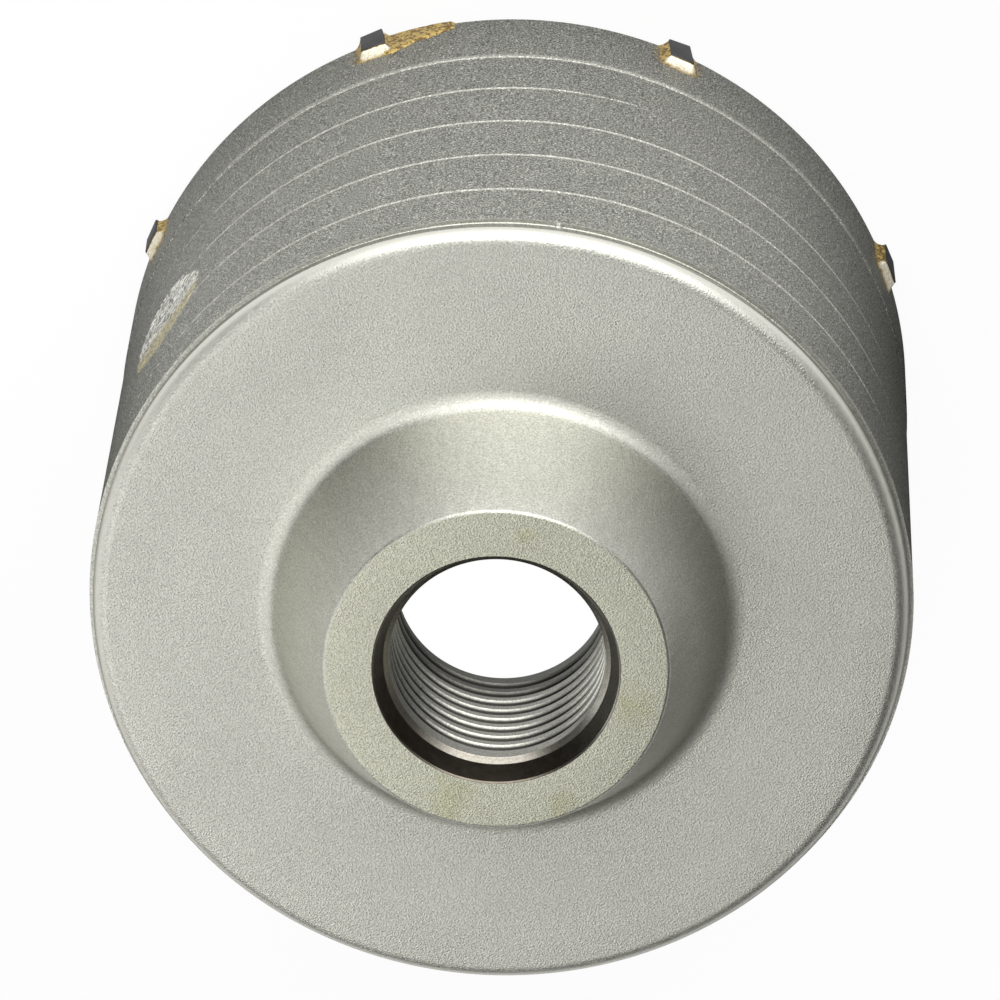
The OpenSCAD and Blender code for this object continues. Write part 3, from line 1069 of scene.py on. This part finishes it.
class COREBIT_OT_braze(bpy.types.Operator):
    """Add the braze that holds the tips"""

    bl_idname = "corebit.braze"
    bl_label = "Braze joints"

    def execute(self, context):
        bit = context.scene.core_bit
        cup, tips, braze = bit.cup, bit.tips, bit.braze
        mesh = joined("braze", joint_mesh(cup, tips, braze), *run_shell(cup, tips, braze))
        piece = grown("braze_joints", mesh, braze_tree, count=tips.count,
                      run_direction=math.tau * (braze.run_tip - 1) / tips.count,
                      lump_height=braze.lumps, lump_scale=1 / (1.1 * MM), material=braze_material(bit.looks))
        keep(piece, numbered("braze_joint", tips.count))
        return {"FINISHED"}


# Stage

def floor_material(stage):
    """White floor that shines by itself to the camera and in reflections.

    Reflections show a painted shade round the cup and a painted dark patch at either side of it, which
    darkens the cone's right side and the barrel's sides.
    """
    material, maker = shader_maker("floor_white")
    x, y, _ = maker.split(maker.node("ShaderNodeTexCoord", output="Object"))
    flat = maker.xyz(x, y, 0)
    under = (x * x + y * y).math("SQRT").rise(stage.white_r + 1 * MM, stage.white_r - 1 * MM)
    heading = math.degrees(stage.heading)
    behind = direction(heading, 0) * -stage.shade_back
    far = maker.distance(flat, behind).rise(stage.shade_r, stage.shade_r * 1.5)
    clear = 1.0
    # Painted shade: a dark patch at either side of the cup, seen only in reflections
    for side, out, size in ((-90, stage.right_out, stage.right_r), (90, stage.left_out, stage.left_r)):
        card = behind + direction(heading + side, 0) * out
        clear = maker.distance(flat, card).rise(size, size * 1.7) * clear
    path = maker.node("ShaderNodeLightPath", output="Is Camera Ray")
    glossy = path.also("Is Glossy Ray")
    tone = 0.9 - glossy * (0.9 - clear * stage.floor_grey)
    paper = maker.node("ShaderNodeBsdfDiffuse", Color=maker.tint((1, 1, 1), tone))
    glow = maker.node("ShaderNodeEmission", Color=(1, 1, 1, 1), Strength=1.0)
    white = under * (1 - stage.floor_white) + stage.floor_white
    near = stage.floor_shine
    shine = near + under * (0.6 - near) + far * (stage.far_shine - near)
    own = (path.most(path.also("Is Transmission Ray")) * white).most(glossy * shine * clear)
    maker.node("ShaderNodeOutputMaterial", Surface=maker.node("ShaderNodeMixShader", own, paper, glow))
    return material


def soft_lamp(name, heading, elevation, size, level):
    """Square soft lamp that faces the part. Level is its face's brightness."""
    lamp = bpy.data.lights.new(name, "AREA")
    lamp.shape = "SQUARE"
    lamp.size = size
    lamp.energy = level * math.pi * size * size
    away = direction(heading, elevation)
    shown(name, lamp).matrix_world = Matrix.Translation(away * LAMP_DISTANCE + LAMP_TARGET) @ \
        away.to_track_quat("Z", "Y").to_matrix().to_4x4()


class COREBIT_OT_stage(bpy.types.Operator):
    """Add the white floor, the soft lamps and the camera"""

    bl_idname = "corebit.stage"
    bl_label = "Stage"

    def execute(self, context):
        scene = context.scene
        stage = scene.core_bit.stage
        half, level = stage.floor_size / 2, -0.01 * MM
        corners = [(-half, -half, level), (half, -half, level), (half, half, level), (-half, half, level)]
        floor = shown("floor", mesh_of("floor", corners, [(0, 1, 2, 3)]))
        floor.data.materials.append(floor_material(stage))

        world = bpy.data.worlds.new("plain_room")
        scene.world = world
        world.use_nodes = True
        background = world.node_tree.nodes["Background"].inputs
        background["Color"].default_value = (1, 1, 1, 1)
        background["Strength"].default_value = stage.world

        soft_lamp("over_lamp", 215, 62, 0.5, 1.9)
        soft_lamp("top_lamp", 65, 68, 0.5, 0.6)
        soft_lamp("key_lamp", 65, 30, 0.8, 3.0)
        soft_lamp("right_key_lamp", 30, 25, 0.4, 0.6)
        soft_lamp("left_lamp", 176, 34, 0.7, 1.2)

        lens = bpy.data.cameras.new("camera")
        lens.lens = stage.lens
        lens.sensor_width = 36
        lens.sensor_fit = "HORIZONTAL"
        lens.clip_start = 0.01
        lens.clip_end = 20
        away = direction(math.degrees(stage.heading), math.degrees(stage.elevation))
        upright = (Vector((0, 0, 1)) - away * away.z).normalized()
        up = upright * math.cos(stage.roll) + upright.cross(away) * math.sin(stage.roll)
        axes = Matrix((up.cross(away), up, away)).transposed().to_4x4()
        scene.camera = shown("camera", lens)
        scene.camera.matrix_world = Matrix.Translation(Vector(stage.aim) + away * stage.distance) @ axes
        scene.view_settings.view_transform = "Standard"
        scene.cycles.glossy_bounces = 3
        scene.cycles.diffuse_bounces = 2
        return {"FINISHED"}


class COREBIT_PT_panel(bpy.types.Panel):
    """Sidebar panel with the core bit's pieces"""

    bl_idname = "COREBIT_PT_panel"
    bl_label = "Core bit"
    bl_space_type = "VIEW_3D"
    bl_region_type = "UI"
    bl_category = "Core bit"

    def draw(self, context):
        for operator in OPERATORS:
            self.layout.operator(operator.bl_idname)
        bit = context.scene.core_bit
        for name in CoreBit.__annotations__:
            settings = getattr(bit, name)
            box = self.layout.box()
            box.label(text=bit.bl_rna.properties[name].name)
            for item in type(settings).__annotations__:
                box.prop(settings, item)


GROUPS = (CupSizes, SpiralSizes, ThreadSizes, PatchSizes, TipSizes, BrazeSizes, Looks, StageSettings,
          CoreBit)
OPERATORS = (COREBIT_OT_stage, COREBIT_OT_cup, COREBIT_OT_tips, COREBIT_OT_braze)
CLASSES = GROUPS + OPERATORS + (COREBIT_PT_panel,)


def register():
    for item in CLASSES:
        bpy.utils.register_class(item)
    bpy.types.Scene.core_bit = PointerProperty(type=CoreBit)


def unregister():
    del bpy.types.Scene.core_bit
    for item in reversed(CLASSES):
        bpy.utils.unregister_class(item)


def main():
    """Registers the classes and makes every piece."""
    register()
    bpy.ops.corebit.stage()
    bpy.ops.corebit.cup()
    bpy.ops.corebit.tips()
    bpy.ops.corebit.braze()


if __name__ == "__main__":
    main()
